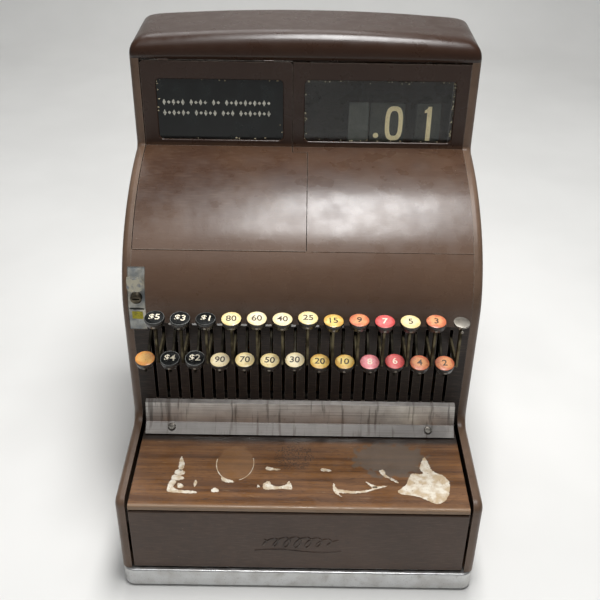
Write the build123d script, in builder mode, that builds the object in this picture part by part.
"""Small key-driven cash register with a sheet-metal cabinet, a key bank and a drawer.

Millimetres. X runs to the right, Y to the back and Z up. The origin is the middle of the
footprint on the surface that the register stands on.
"""

import math
import os

from build123d import *

os.makedirs("parts", exist_ok=True)

# Footprint and heights
HALF_WIDTH = 187.5
HALF_DEPTH = 200.0
FOOT_HEIGHT = 2.0
PAN_TOP = 25.0
CHEEK_TOP = 123.6
ROOF_BASE = 485.2
ROOF_SIDE_TOP = 505.0
ROOF_CROWN = 513.0

# Side profile, front to back
BODY_FRONT = -196.0
PANEL_FRONT = -66.4
HEAD_FRONT = 91.0
BODY_BACK = 196.0
HOOD_START = 262.0
CREASE_HEIGHT = 387.0

# Cabinet sheet
SIDE_PLATE = 2.5
RIM_WALL = 3.0
RIM_DEPTH = 10.0
EDGE_RADIUS = 6.0
SHEET = 2.0
INNER_X = HALF_WIDTH - RIM_DEPTH - 0.2

# Key bank
KEY_COUNT = 26
KEY_PITCH = 12.7
LEVER_THICKNESS = 2.4
PIVOT_Y = 36.0
PIVOT_Z = 222.0
SHAFT_RADIUS = 5.0
HUB_RADIUS = 9.0
HUB_WIDTH = 5.0
CAP_RADIUS = 10.3
CAP_HEIGHT = 8.5
SLOT_WIDTH = 3.6
SLOT_BOTTOM = 152.0
SLOT_TOP = 250.0
PANEL_TOP = 253.6

# Left lid and its seam lines
LID_GAP = 0.8
LID_BOTTOM = 326.6
LID_TOP = 482.95
LID_LEFT = -176.6
LID_RIGHT_HOOD = 3.4
LID_RIGHT_WINDOW = -13.2
LID_JOG_Y = 80.0
HINGE_Y = 91.6
HINGE_Z = 484.0

# Drawer
DRAWER_HALF_WIDTH = 175.2
DRAWER_BOTTOM = 26.6
DRAWER_TOP = 108.8
DRAWER_BACK = 150.0
BOX_HALF_WIDTH = 168.0
BOX_BOTTOM = 30.0
BOX_TOP = 98.0
BOX_WALL = 6.0
FRONT_THICKNESS = 10.0


def save(shape, name):
    """Labels a finished piece and writes it as its own file."""
    shape.label = name
    export_step(shape, f"parts/{name}.step")


def key_x(index):
    """Centre of slot number index, counted from 0 at the left."""
    return (index - (KEY_COUNT - 1) / 2) * KEY_PITCH


def hood_points(inset):
    """Control points of the hood's curve, moved inwards by inset."""
    return [
        (PANEL_FRONT + inset, HOOD_START),
        (PANEL_FRONT + inset, HOOD_START + 60 - 0.45 * inset),
        (-1.0 + 0.5 * inset, 372.3 - inset),
        (HEAD_FRONT + inset, CREASE_HEIGHT - 0.85 * inset),
    ]


def side_profile(x, inset, top):
    """Outline of the cabinet's side in the plane at x, moved inwards by inset."""
    hood = hood_points(inset)
    corner_front = (BODY_FRONT + inset, CHEEK_TOP - inset)
    corner_waist = (PANEL_FRONT + inset, CHEEK_TOP - inset)
    with BuildSketch(Plane.YZ.offset(x)) as profile:
        with BuildLine():
            Polyline(
                (HEAD_FRONT + inset, top),
                (BODY_BACK - inset, top),
                (BODY_BACK - inset, PAN_TOP + inset),
                (BODY_FRONT + inset, PAN_TOP + inset),
                corner_front,
                corner_waist,
                hood[0],
            )
            Bezier(*hood)
            Line(hood[-1], (HEAD_FRONT + inset, top))
        make_face()
        corners = profile.vertices()
        fillet(corners.sort_by_distance(Vector(*corner_front))[0], 10 - inset)
        corners = profile.vertices()
        fillet(corners.sort_by_distance(Vector(*corner_waist))[0], 12 + inset)
        corners = profile.vertices()
        fillet(corners.sort_by_distance(Vector(*hood[-1]))[0], 4 + inset)
    return profile.sketch


def hood_band(x, outer, inner, bottom, top):
    """Section of a sheet that follows the panel, the hood and the window face."""
    front = hood_points(outer)
    rear = hood_points(inner)
    with BuildSketch(Plane.YZ.offset(x)) as band:
        with BuildLine():
            Line((PANEL_FRONT + outer, bottom), front[0])
            Bezier(*front)
            Polyline(
                front[-1],
                (HEAD_FRONT + outer, top),
                (HEAD_FRONT + inner, top),
                rear[-1],
            )
            Bezier(*reversed(rear))
            Polyline(
                rear[0],
                (PANEL_FRONT + inner, bottom),
                (PANEL_FRONT + outer, bottom),
            )
        make_face()
    return band.sketch


def block(low, high):
    """A plain box between two corners, kept out of any builder."""
    size = [high[i] - low[i] for i in range(3)]
    centre = [(high[i] + low[i]) / 2 for i in range(3)]
    return Pos(*centre) * Box(*size, mode=Mode.PRIVATE)


# ---------------------------------------------------------------- base
with BuildPart() as base_pan:
    with BuildSketch(Plane.XY.offset(FOOT_HEIGHT)):
        RectangleRounded(2 * HALF_WIDTH, 2 * HALF_DEPTH, 12)
    extrude(amount=PAN_TOP - FOOT_HEIGHT)
    fillet(base_pan.edges().group_by(Axis.Z)[0], 2.0)
    fillet(base_pan.edges().group_by(Axis.Z)[-1], 2.0)
    with BuildSketch(Plane.XY.offset(FOOT_HEIGHT + 2)):
        RectangleRounded(2 * HALF_WIDTH - 20, 2 * HALF_DEPTH - 20, 6)
    extrude(amount=PAN_TOP, mode=Mode.SUBTRACT)
save(base_pan.part, "base_pan")

with BuildPart() as rubber_feet:
    with BuildSketch():
        with GridLocations(300, 330, 2, 2):
            Circle(12)
    extrude(amount=FOOT_HEIGHT)
save(rubber_feet.part, "rubber_feet")


# ---------------------------------------------------------------- cabinet sides
LOCK_X = -172.0
LOCK_HALF_WIDTH = 8.75
LOCK_BOTTOM = 245.0
LOCK_TOP = 312.0
LOCK_WINDOW = block(
    (LOCK_X - LOCK_HALF_WIDTH - 0.4, PANEL_FRONT - 20, LOCK_BOTTOM - 0.4),
    (LOCK_X + LOCK_HALF_WIDTH + 0.4, PANEL_FRONT + 30, LOCK_TOP + 0.4),
)

with BuildPart() as side_blank:
    extrude(side_profile(-HALF_WIDTH, 0, ROOF_BASE), amount=RIM_DEPTH)
    outer_edges = side_blank.faces().sort_by(Axis.X)[0].edges()
    level_edges = outer_edges.filter_by(Axis.Y)
    ends = [level_edges.sort_by(Axis.Z)[0], level_edges.sort_by(Axis.Z)[-1]]
    fillet([edge for edge in outer_edges if edge not in ends], EDGE_RADIUS)
    pocket = side_profile(-HALF_WIDTH + SIDE_PLATE, RIM_WALL, ROOF_BASE + 1)
    extrude(pocket, amount=RIM_DEPTH, mode=Mode.SUBTRACT)

with BuildPart() as left_side:
    add(side_blank.part)
    add(LOCK_WINDOW, mode=Mode.SUBTRACT)
save(left_side.part, "left_side")

with BuildPart() as right_side:
    mirror(side_blank.part, about=Plane.YZ)
save(right_side.part, "right_side")


# ---------------------------------------------------------------- roof
HEAD_MIDDLE = (HEAD_FRONT + BODY_BACK) / 2
HEAD_LENGTH = BODY_BACK - HEAD_FRONT


def dome_block(inset):
    """The head's cap as a solid, moved inwards by inset, with its arched top."""
    with BuildPart(mode=Mode.PRIVATE) as cap:
        with BuildSketch(Plane.XZ.offset(-BODY_BACK + inset)):
            with BuildLine():
                side = HALF_WIDTH - inset
                Line((-side, ROOF_BASE), (side, ROOF_BASE))
                Line((side, ROOF_BASE), (side, ROOF_SIDE_TOP - inset))
                ThreePointArc(
                    (side, ROOF_SIDE_TOP - inset),
                    (0, ROOF_CROWN - inset),
                    (-side, ROOF_SIDE_TOP - inset),
                )
                Line((-side, ROOF_SIDE_TOP - inset), (-side, ROOF_BASE))
            make_face()
        extrude(amount=HEAD_LENGTH - 2 * inset)
        fillet(cap.edges().filter_by(Axis.Z), EDGE_RADIUS - inset)
    return cap


with BuildPart() as roof:
    add(dome_block(0).part)
    fillet(roof.faces().sort_by(Axis.Z)[-1].edges(), EDGE_RADIUS - 0.5)
    add(dome_block(RIM_WALL).part, mode=Mode.SUBTRACT)
save(roof.part, "roof")


# ---------------------------------------------------------------- slotted panel and hood
with BuildPart() as key_panel:
    panel_low = CHEEK_TOP - 4
    with BuildSketch(Plane.XZ.offset(-PANEL_FRONT)):
        with Locations((0, (panel_low + PANEL_TOP) / 2)):
            Rectangle(2 * INNER_X, PANEL_TOP - panel_low)
        with Locations((0, (SLOT_BOTTOM + SLOT_TOP) / 2)):
            with GridLocations(KEY_PITCH, 1, KEY_COUNT, 1):
                Rectangle(SLOT_WIDTH, SLOT_TOP - SLOT_BOTTOM, mode=Mode.SUBTRACT)
    extrude(amount=-SHEET)
    add(LOCK_WINDOW, mode=Mode.SUBTRACT)
save(key_panel.part, "key_panel")

WINDOW_CORNER = 5.0
WINDOW_ROLL = 1.4
LEFT_WINDOW = (-161.0, -23.5, 394.0, 463.0)
RIGHT_WINDOW = (0.0, 163.3, 393.5, 463.5)


def window_cutter(window, margin=0.0):
    """A rounded bar that cuts, or fits, a window; window is left, right, low, high."""
    left, right, low, high = window
    with BuildPart(mode=Mode.PRIVATE) as bar:
        with BuildSketch(Plane.XZ.offset(-HEAD_FRONT + 6)):
            with Locations(((left + right) / 2, (low + high) / 2)):
                RectangleRounded(
                    right - left + 2 * margin,
                    high - low + 2 * margin,
                    WINDOW_CORNER + margin,
                )
        extrude(amount=-16)
    return bar.part


def window_rim(sheet, window):
    """The front edges of a window cut in a sheet."""
    left, right, low, high = window
    return [
        edge
        for edge in sheet.edges()
        if abs(edge.center().Y - HEAD_FRONT) < 0.01
        and left - 1 < edge.center().X < right + 1
        and low - 1 < edge.center().Z < high + 1
    ]


with BuildPart() as left_lid:
    extrude(
        hood_band(LID_LEFT, 0, SHEET, PANEL_TOP, LID_TOP),
        amount=LID_RIGHT_HOOD - LID_LEFT,
    )
    add(block((-200, -100, 200), (200, 80, LID_BOTTOM)), mode=Mode.SUBTRACT)
    add(
        block((LID_RIGHT_WINDOW, LID_JOG_Y, 300), (50, 120, 500)),
        mode=Mode.SUBTRACT,
    )
    upright = left_lid.edges().filter_by(Axis.Y)
    fillet(upright.group_by(Axis.Z)[-1], 4.0)
    add(window_cutter(LEFT_WINDOW), mode=Mode.SUBTRACT)
    fillet(window_rim(left_lid, LEFT_WINDOW), WINDOW_ROLL)
    for lug_x in (LID_LEFT + 20, LID_RIGHT_WINDOW - 30):
        with BuildSketch(Plane.YZ.offset(lug_x)):
            with Locations((HINGE_Y, HINGE_Z)):
                Circle(1.15)
            with Locations((HINGE_Y + 0.1, HINGE_Z - 1.35)):
                Rectangle(1.4, 1.0)
            with Locations((HINGE_Y, HINGE_Z)):
                Circle(0.65, mode=Mode.SUBTRACT)
        extrude(amount=10)
save(left_lid.part, "left_lid")

with BuildPart() as lid_hinge_pin:
    with BuildSketch(Plane.YZ.offset(-INNER_X - 1.5)):
        with Locations((HINGE_Y, HINGE_Z)):
            Circle(0.6)
    extrude(amount=INNER_X + 1.5 + LID_RIGHT_WINDOW)
save(lid_hinge_pin.part, "lid_hinge_pin")

with BuildPart() as front_cover:
    extrude(
        hood_band(-INNER_X, 0, SHEET, PANEL_TOP + 0.4, LID_TOP),
        amount=2 * INNER_X,
    )
    add(
        block(
            (-200, -100, LID_BOTTOM - LID_GAP),
            (LID_RIGHT_HOOD + LID_GAP, LID_JOG_Y + LID_GAP, 500),
        ),
        mode=Mode.SUBTRACT,
    )
    add(
        block(
            (-200, LID_JOG_Y, LID_BOTTOM),
            (LID_RIGHT_WINDOW + LID_GAP, 120, 500),
        ),
        mode=Mode.SUBTRACT,
    )
    # The groove that mirrors the lid's lower edge on the fixed half
    add(
        block((LID_RIGHT_HOOD + 5, -60, LID_BOTTOM - 0.7), (INNER_X, -38.2, LID_BOTTOM)),
        mode=Mode.SUBTRACT,
    )
    add(window_cutter(RIGHT_WINDOW), mode=Mode.SUBTRACT)
    fillet(window_rim(front_cover, RIGHT_WINDOW), WINDOW_ROLL)
    add(LOCK_WINDOW, mode=Mode.SUBTRACT)
save(front_cover.part, "front_cover")

GLASS = 3.0
for glass_name, window in (("left_glass", LEFT_WINDOW), ("right_glass", RIGHT_WINDOW)):
    left, right, low, high = window
    with BuildPart() as glass:
        with BuildSketch(Plane.XZ.offset(-HEAD_FRONT - SHEET)):
            with Locations(((left + right) / 2, (low + high) / 2)):
                RectangleRounded(right - left + 8, high - low + 8, WINDOW_CORNER)
        extrude(amount=-GLASS)
    save(glass.part, glass_name)


# ---------------------------------------------------------------- lock
CYLINDER_RADIUS = 6.0
LOCK_Z = 283.0
with BuildPart() as lock_plate:
    extrude(
        hood_band(LOCK_X - LOCK_HALF_WIDTH, 0.8, 2.8, LOCK_BOTTOM, LID_TOP),
        amount=2 * LOCK_HALF_WIDTH,
    )
    add(block((-200, -100, LOCK_TOP), (0, 120, 500)), mode=Mode.SUBTRACT)
    add(
        Pos(LOCK_X, PANEL_FRONT, LOCK_Z)
        * Rot(90, 0, 0)
        * Cylinder(CYLINDER_RADIUS + 0.06, 40, mode=Mode.PRIVATE),
        mode=Mode.SUBTRACT,
    )
save(lock_plate.part, "lock_plate")

with BuildPart() as lock_cylinder:
    with BuildSketch(Plane.XZ.offset(-PANEL_FRONT + 0.4)):
        with Locations((LOCK_X, LOCK_Z)):
            Circle(CYLINDER_RADIUS)
    extrude(amount=-20)
    fillet(lock_cylinder.edges().sort_by(Axis.Y)[0], 0.6)
    with BuildSketch(Plane.XZ.offset(-PANEL_FRONT + 0.4)):
        with Locations((LOCK_X, LOCK_Z)):
            SlotOverall(7.6, 1.6)
    extrude(amount=-5, mode=Mode.SUBTRACT)
    with BuildSketch(Plane.XZ.offset(-PANEL_FRONT - 17)):
        with Locations((LOCK_X + 4, LOCK_Z)):
            SlotOverall(13, 6)
    extrude(amount=-2.4)
save(lock_cylinder.part, "lock_cylinder")


# ---------------------------------------------------------------- key rail, shelf, back
RAIL_HALF = 172.0
RAIL_SCREW = (-82.2, 123.93)
with BuildPart() as key_rail:
    with BuildSketch(Plane.YZ.offset(-RAIL_HALF)):
        with BuildLine():
            Polyline(
                (-88.5, 119.0),
                (-77.5, 127.6),
                (-72.0, 150.0),
                (-66.6, 151.6),
                (-66.6, 150.0),
                (-70.7, 148.8),
                (-76.1, 126.6),
                (-87.5, 117.7),
                close=True,
            )
        make_face()
    extrude(amount=2 * RAIL_HALF)
    screw_plane = Plane(origin=(0, *RAIL_SCREW), x_dir=(1, 0, 0), z_dir=(0, -0.616, 0.788))
    with BuildSketch(screw_plane):
        with Locations((-143, 0), (143, 0)):
            Circle(2.1)
    extrude(amount=-6, mode=Mode.SUBTRACT)
save(key_rail.part, "key_rail")

SHELF_TOP = 117.0
SHELF_BOTTOM = 110.0
with BuildPart() as wood_shelf:
    add(block((-174.5, BODY_FRONT, SHELF_BOTTOM), (174.5, PANEL_FRONT - 0.4, SHELF_TOP)))
    front_edges = wood_shelf.edges().filter_by(Axis.X).sort_by(Axis.Y)[:2]
    fillet(front_edges, 2.4)
save(wood_shelf.part, "wood_shelf")

COVER_SCREWS = [(x, z) for x in (-160, 160) for z in (50, 190, 330, 465)]
with BuildPart() as back_cover:
    add(block((-INNER_X, BODY_BACK - 2, PAN_TOP + 1), (INNER_X, BODY_BACK, ROOF_BASE - 0.4)))
    with BuildSketch(Plane.XZ.offset(-BODY_BACK)):
        with Locations(*COVER_SCREWS):
            Circle(2.1)
    extrude(amount=10, both=True, mode=Mode.SUBTRACT)
    fillet(back_cover.edges().filter_by(Axis.Y).group_by(Axis.Z)[-1], 6)
save(back_cover.part, "back_cover")


def screw_solid(plane):
    """A slotted round-head screw whose head stands on the plane."""
    with BuildPart(mode=Mode.PRIVATE) as screw:
        with BuildSketch(plane):
            Circle(4.5)
        extrude(amount=2.2)
        top = screw.faces().sort_by_distance(plane.origin + plane.z_dir * 2.2)[0]
        fillet(top.edges(), 1.9)
        with BuildSketch(plane):
            Circle(2.0)
        extrude(amount=-4)
        with BuildSketch(plane.offset(1.2)):
            Rectangle(10, 1.1)
        extrude(amount=3, mode=Mode.SUBTRACT)
    return screw.part


rail_planes = [
    Plane(origin=(x, *RAIL_SCREW), x_dir=(1, 0, 0), z_dir=screw_plane.z_dir)
    for x in (-143, 143)
]
cover_planes = [
    Plane(origin=(x, BODY_BACK, z), x_dir=(1, 0, 0), z_dir=(0, 1, 0))
    for x, z in COVER_SCREWS
]
screws = [screw_solid(plane) for plane in rail_planes + cover_planes]
save(Compound(children=screws), "screws")


# ---------------------------------------------------------------- drawer
with BuildPart() as drawer_front:
    add(
        block(
            (-DRAWER_HALF_WIDTH, BODY_FRONT, DRAWER_BOTTOM),
            (DRAWER_HALF_WIDTH, BODY_FRONT + FRONT_THICKNESS, DRAWER_TOP),
        )
    )
    face_edges = drawer_front.faces().sort_by(Axis.Y)[0].edges()
    fillet(face_edges, 1.6)
save(drawer_front.part, "drawer_front")

BOX_FRONT = BODY_FRONT + FRONT_THICKNESS
RUNNER_Z = 60.0
with BuildPart() as drawer_box:
    add(
        block(
            (-BOX_HALF_WIDTH, BOX_FRONT, BOX_BOTTOM),
            (BOX_HALF_WIDTH, DRAWER_BACK, BOX_TOP),
        )
    )
    add(
        block(
            (-BOX_HALF_WIDTH + BOX_WALL, BOX_FRONT + BOX_WALL, BOX_BOTTOM + 4),
            (BOX_HALF_WIDTH - BOX_WALL, DRAWER_BACK - BOX_WALL, BOX_TOP + 1),
        ),
        mode=Mode.SUBTRACT,
    )
    for side in (-1, 1):
        low = min(side * BOX_HALF_WIDTH, side * (BOX_HALF_WIDTH + 6))
        add(
            block(
                (low, BOX_FRONT + 2, RUNNER_Z),
                (low + 6, DRAWER_BACK, RUNNER_Z + 8),
            )
        )
save(drawer_box.part, "drawer_box")

# Coin cups in front, note wells behind them
CUP_COUNT = 5
WELL_COUNT = 4
TRAY_WALL = 3.0
TRAY_FLOOR = BOX_BOTTOM + 4.0
TRAY_TOP = 82.0
TRAY_FRONT = BOX_FRONT + BOX_WALL + 0.4
TRAY_BACK = DRAWER_BACK - BOX_WALL - 0.4
TRAY_HALF = BOX_HALF_WIDTH - BOX_WALL - 0.4
CUP_LENGTH = 96.0


def pocket_centres(count):
    """Middle X of each of count equal pockets across the tray, and their width."""
    width = (2 * TRAY_HALF - (count + 1) * TRAY_WALL) / count
    first = -TRAY_HALF + TRAY_WALL + width / 2
    return [first + i * (width + TRAY_WALL) for i in range(count)], width


with BuildPart() as till_tray:
    add(block((-TRAY_HALF, TRAY_FRONT, TRAY_FLOOR), (TRAY_HALF, TRAY_BACK, TRAY_TOP)))
    pocket_floor = TRAY_FLOOR + TRAY_WALL
    centres, width = pocket_centres(CUP_COUNT)
    for x in centres:
        with BuildSketch(Plane.XZ.offset(-TRAY_FRONT - TRAY_WALL)):
            with Locations((x, (pocket_floor + TRAY_TOP + 20) / 2)):
                RectangleRounded(width, TRAY_TOP + 20 - pocket_floor, 9)
        extrude(amount=-CUP_LENGTH, mode=Mode.SUBTRACT)
    well_front = TRAY_FRONT + CUP_LENGTH + 2 * TRAY_WALL
    centres, width = pocket_centres(WELL_COUNT)
    for x in centres:
        add(
            block(
                (x - width / 2, well_front, pocket_floor),
                (x + width / 2, TRAY_BACK - TRAY_WALL, TRAY_TOP + 1),
            ),
            mode=Mode.SUBTRACT,
        )
save(till_tray.part, "till_tray")

with BuildPart() as drawer_runners:
    for side in (-1, 1):
        inner = side * (BOX_HALF_WIDTH + 1)
        outer = side * (HALF_WIDTH - SIDE_PLATE)
        low, high = min(inner, outer), max(inner, outer)
        add(block((low, -180, RUNNER_Z - 2.4), (high, 185, RUNNER_Z - 0.4)))
        wall = side * (BOX_HALF_WIDTH + 7)
        low, high = min(wall, outer), max(wall, outer)
        add(block((low, -180, RUNNER_Z - 2.4), (high, 185, RUNNER_Z + 18)))
save(drawer_runners.part, "drawer_runners")

SPRING_LENGTH = 41.0
with BuildPart() as drawer_spring:
    with BuildLine() as coil:
        Helix(
            pitch=SPRING_LENGTH / 8,
            height=SPRING_LENGTH,
            radius=9,
            center=(-60, DRAWER_BACK + 1.6, 64),
            direction=(0, 1, 0),
        )
    with BuildSketch(Plane(origin=coil.line @ 0, z_dir=coil.line % 0)):
        Circle(0.8)
    sweep(is_frenet=True)
save(drawer_spring.part, "drawer_spring")

LATCH_Y = 172.0
LATCH_Z = 122.0
with BuildPart() as drawer_latch:
    with BuildSketch(Plane.YZ.offset(58)):
        with BuildLine():
            Polyline(
                (LATCH_Y, LATCH_Z + 9),
                (LATCH_Y - 40, LATCH_Z + 1),
                (LATCH_Y - 40, LATCH_Z - 20),
                (LATCH_Y - 34, LATCH_Z - 20),
                (LATCH_Y - 28, LATCH_Z - 9),
                (LATCH_Y, LATCH_Z - 9),
                close=True,
            )
        make_face()
        with Locations((LATCH_Y, LATCH_Z)):
            Circle(9)
            Circle(SHAFT_RADIUS + 0.05, mode=Mode.SUBTRACT)
    extrude(amount=4)
save(drawer_latch.part, "drawer_latch")


# ---------------------------------------------------------------- mechanism frame
BAR_RADIUS = 6.0
FRAME_BARS = [(-40.0, 136.0), (75.0, 136.0), (70.0, 318.0)]
HAMMER_BAR = (150.0, 180.0)
LATCH_BAR = (LATCH_Y, LATCH_Z)
BAR_HALF = HALF_WIDTH - SIDE_PLATE
FRAME_X = 170.0

with BuildPart() as frame_plates:
    for x in (-FRAME_X - 3, FRAME_X):
        with BuildSketch(Plane.YZ.offset(x)):
            with BuildLine():
                Polyline(
                    (-56, 122),
                    (88, 122),
                    (88, 332),
                    (30, 332),
                    (-52, 262),
                    (-56, 250),
                    close=True,
                )
            make_face()
            with Locations((15, 165), (30, 285)):
                SlotOverall(60, 24, mode=Mode.SUBTRACT)
            with Locations(*FRAME_BARS):
                Circle(BAR_RADIUS, mode=Mode.SUBTRACT)
            with Locations((PIVOT_Y, PIVOT_Z)):
                Circle(SHAFT_RADIUS, mode=Mode.SUBTRACT)
        extrude(amount=3)
save(frame_plates.part, "frame_plates")

with BuildPart() as cross_bars:
    with BuildSketch(Plane.YZ.offset(-BAR_HALF)):
        with Locations(*FRAME_BARS):
            Circle(BAR_RADIUS)
        with Locations(HAMMER_BAR, LATCH_BAR):
            Circle(SHAFT_RADIUS)
    extrude(amount=2 * BAR_HALF)
save(cross_bars.part, "cross_bars")

with BuildPart() as key_shaft:
    with BuildSketch(Plane.YZ.offset(-FRAME_X - 5)):
        with Locations((PIVOT_Y, PIVOT_Z)):
            Circle(SHAFT_RADIUS)
    extrude(amount=2 * FRAME_X + 10)
    chamfer(key_shaft.edges(), 0.8)
save(key_shaft.part, "key_shaft")


# ---------------------------------------------------------------- keys
def cap_solid(x, y, z, tilt):
    """A key top: a round black body with a thin rim round its face."""
    face = Plane(
        origin=(x, y, z),
        x_dir=(1, 0, 0),
        z_dir=(0, -math.sin(math.radians(tilt)), math.cos(math.radians(tilt))),
    )
    with BuildPart(mode=Mode.PRIVATE) as cap:
        with BuildSketch(face.offset(-CAP_HEIGHT)):
            Circle(CAP_RADIUS - 1.0)
        with BuildSketch(face.offset(-3)):
            Circle(CAP_RADIUS)
        loft()
        with BuildSketch(face.offset(-3)):
            Circle(CAP_RADIUS)
        extrude(amount=3)
        circles = cap.edges().filter_by(GeomType.CIRCLE)
        fillet(circles.sort_by_distance(face.origin + face.z_dir * 5)[0], 0.7)
        with BuildSketch(face):
            Circle(CAP_RADIUS - 1.3)
        extrude(amount=-0.5, mode=Mode.SUBTRACT)
    return cap


def lever_solid(x, outline):
    """A flat lever with the outline's visible end, a hub on the shaft and a tail."""
    left = x - LEVER_THICKNESS / 2
    with BuildPart(mode=Mode.PRIVATE) as lever:
        with BuildSketch(Plane.YZ.offset(left)):
            with BuildLine():
                Polyline(*outline, close=True)
            make_face()
        extrude(amount=LEVER_THICKNESS)
        with BuildSketch(Plane.YZ.offset(x - HUB_WIDTH / 2)):
            with Locations((PIVOT_Y, PIVOT_Z)):
                Circle(HUB_RADIUS)
        extrude(amount=HUB_WIDTH)
        with BuildSketch(Plane.YZ.offset(x - HUB_WIDTH)):
            with Locations((PIVOT_Y, PIVOT_Z)):
                Circle(SHAFT_RADIUS + 0.05)
        extrude(amount=2 * HUB_WIDTH, mode=Mode.SUBTRACT)
    return lever


UPPER_KEY = (-109.5, 290.0, 7.0)
LOWER_KEY = (-112.7, 242.0, 11.0)
TAIL = [(PIVOT_Y + 4, PIVOT_Z - 6), (132, 230), (132, 238), (PIVOT_Y - 4, PIVOT_Z + 8)]
UPPER_LEVER = [
    *TAIL,
    (-50, 240),
    (-104.5, 240),
    (-106.0, 284.0),
    (-112.5, 284.0),
    (-112.0, 236),
    (-108, 232),
    (-50, 231),
]
LOWER_LEVER = [
    *TAIL,
    (-50, 245.5),
    (-72, 246),
    (-96, 232.5),
    (-108, 236.5),
    (-116, 235.0),
    (-116, 226.5),
    (-96, 224.5),
    (-74, 237.5),
    (-50, 237),
]

for index in range(KEY_COUNT):
    upper = index % 2 == 1
    y, z, tilt = UPPER_KEY if upper else LOWER_KEY
    lever = lever_solid(key_x(index), UPPER_LEVER if upper else LOWER_LEVER)
    cap = cap_solid(key_x(index), y, z, tilt)
    with BuildPart() as socketed_cap:
        add(cap.part)
        add(lever.part, mode=Mode.SUBTRACT)
    save(Compound(children=[lever.part, socketed_cap.part]), f"key_{index + 1:02d}")

with BuildPart() as key_springs:
    for index in range(KEY_COUNT):
        x = key_x(index) + HUB_WIDTH / 2 + 0.5
        turns = 5
        pitch = 1.2
        with BuildSketch(Plane.XY.offset(PIVOT_Z)):
            with BuildLine():
                inner = PIVOT_Y + SHAFT_RADIUS + 0.3
                outer = inner + 1.0
                for turn in range(turns):
                    start = x + turn * pitch
                    ThreePointArc(
                        (start, outer),
                        (start + pitch / 2, outer + 0.5),
                        (start + pitch, outer),
                    )
                Polyline(
                    (x + turns * pitch, outer),
                    (x + turns * pitch, inner),
                    (x, inner),
                    (x, outer),
                )
            make_face()
        revolve(axis=Axis((0, PIVOT_Y, PIVOT_Z), (1, 0, 0)))
save(key_springs.part, "key_springs")


# ---------------------------------------------------------------- indicator flags
FLAG_THICKNESS = 1.0
FLAG_FRONT = 103.0
FLAG_DROP = 48.0
TAB_HEIGHT = 45.0
RAISED_TAB_TOP = 435.5
ROD_LENGTH = 76.0
ROD_WIDTH = 6.0
LAYER_PITCH = 3.0
FLAG_COLUMNS = {"dollars": (60.0, 22.0), "tens": (92.0, 38.5), "units": (137.5, 27.0)}


def flag_solid(x, width, y, top):
    """A flat indicator plate on its own push rod."""
    with BuildPart(mode=Mode.PRIVATE) as flag:
        with BuildSketch(Plane.XZ.offset(-y)):
            with Locations((x, top - TAB_HEIGHT / 2)):
                RectangleRounded(width, TAB_HEIGHT, 2)
            with Locations((x, top - TAB_HEIGHT - ROD_LENGTH / 2 + 1)):
                Rectangle(ROD_WIDTH, ROD_LENGTH + 2)
        extrude(amount=-FLAG_THICKNESS)
    return flag.part


for column, (x, width) in FLAG_COLUMNS.items():
    save(flag_solid(x, width, FLAG_FRONT, RAISED_TAB_TOP), f"flag_{column}")

lowered = []
for x, width in FLAG_COLUMNS.values():
    for layer in range(1, 9):
        y = FLAG_FRONT + layer * LAYER_PITCH
        lowered.append(flag_solid(x, width, y, RAISED_TAB_TOP - FLAG_DROP))
save(Compound(children=lowered[:KEY_COUNT - 3]), "flags_lowered")

GUIDE_HEIGHTS = (270.0, 328.0)
with BuildPart() as flag_guides:
    for z in GUIDE_HEIGHTS:
        with BuildSketch(Plane.XY.offset(z)):
            with Locations((0, FLAG_FRONT + 14)):
                Rectangle(2 * BAR_HALF, 40)
            for x, width in FLAG_COLUMNS.values():
                with Locations((x, FLAG_FRONT + 12.5)):
                    Rectangle(ROD_WIDTH + 0.8, 29, mode=Mode.SUBTRACT)
        extrude(amount=2)
save(flag_guides.part, "flag_guides")


# ---------------------------------------------------------------- bell
BELL_X = -120.0
BELL_Z = 250.0
BELL_RIM_Y = 171.0
BELL_RADIUS = 31.0
with BuildPart() as bell:
    with BuildSketch(Plane.YZ.offset(BELL_X)):
        with BuildLine():
            Line((BELL_RIM_Y, BELL_Z + BELL_RADIUS), (BELL_RIM_Y, BELL_Z + BELL_RADIUS - 2))
            ThreePointArc(
                (BELL_RIM_Y, BELL_Z + BELL_RADIUS - 2),
                (BELL_RIM_Y + 10, BELL_Z + 21),
                (BELL_RIM_Y + 13, BELL_Z),
            )
            Line((BELL_RIM_Y + 13, BELL_Z), (BELL_RIM_Y + 15, BELL_Z))
            ThreePointArc(
                (BELL_RIM_Y + 15, BELL_Z),
                (BELL_RIM_Y + 11.8, BELL_Z + 22.2),
                (BELL_RIM_Y, BELL_Z + BELL_RADIUS),
            )
        make_face()
    revolve(axis=Axis((BELL_X, 0, BELL_Z), (0, 1, 0)))
    with BuildSketch(Plane.XZ.offset(-BELL_RIM_Y - 12)):
        with Locations((BELL_X, BELL_Z)):
            Circle(4)
    extrude(amount=-(BODY_BACK - 2 - BELL_RIM_Y - 12))
save(bell.part, "bell")

HAMMER_ARM = 44.0
with BuildPart() as bell_hammer:
    hammer_y, hammer_z = HAMMER_BAR
    with BuildSketch(Plane.YZ.offset(BELL_X - 3)):
        with Locations((hammer_y, hammer_z)):
            Circle(HUB_RADIUS)
        with Locations((hammer_y, hammer_z + HAMMER_ARM / 2)):
            Rectangle(5, HAMMER_ARM)
        with Locations((hammer_y, hammer_z)):
            Circle(SHAFT_RADIUS + 0.05, mode=Mode.SUBTRACT)
    extrude(amount=3)
    with Locations((BELL_X - 1.5, hammer_y + 8, hammer_z + HAMMER_ARM)):
        Sphere(5)
    with Locations((BELL_X - 1.5, hammer_y + 4, hammer_z + HAMMER_ARM)):
        Box(3, 10, 5)
save(bell_hammer.part, "bell_hammer")
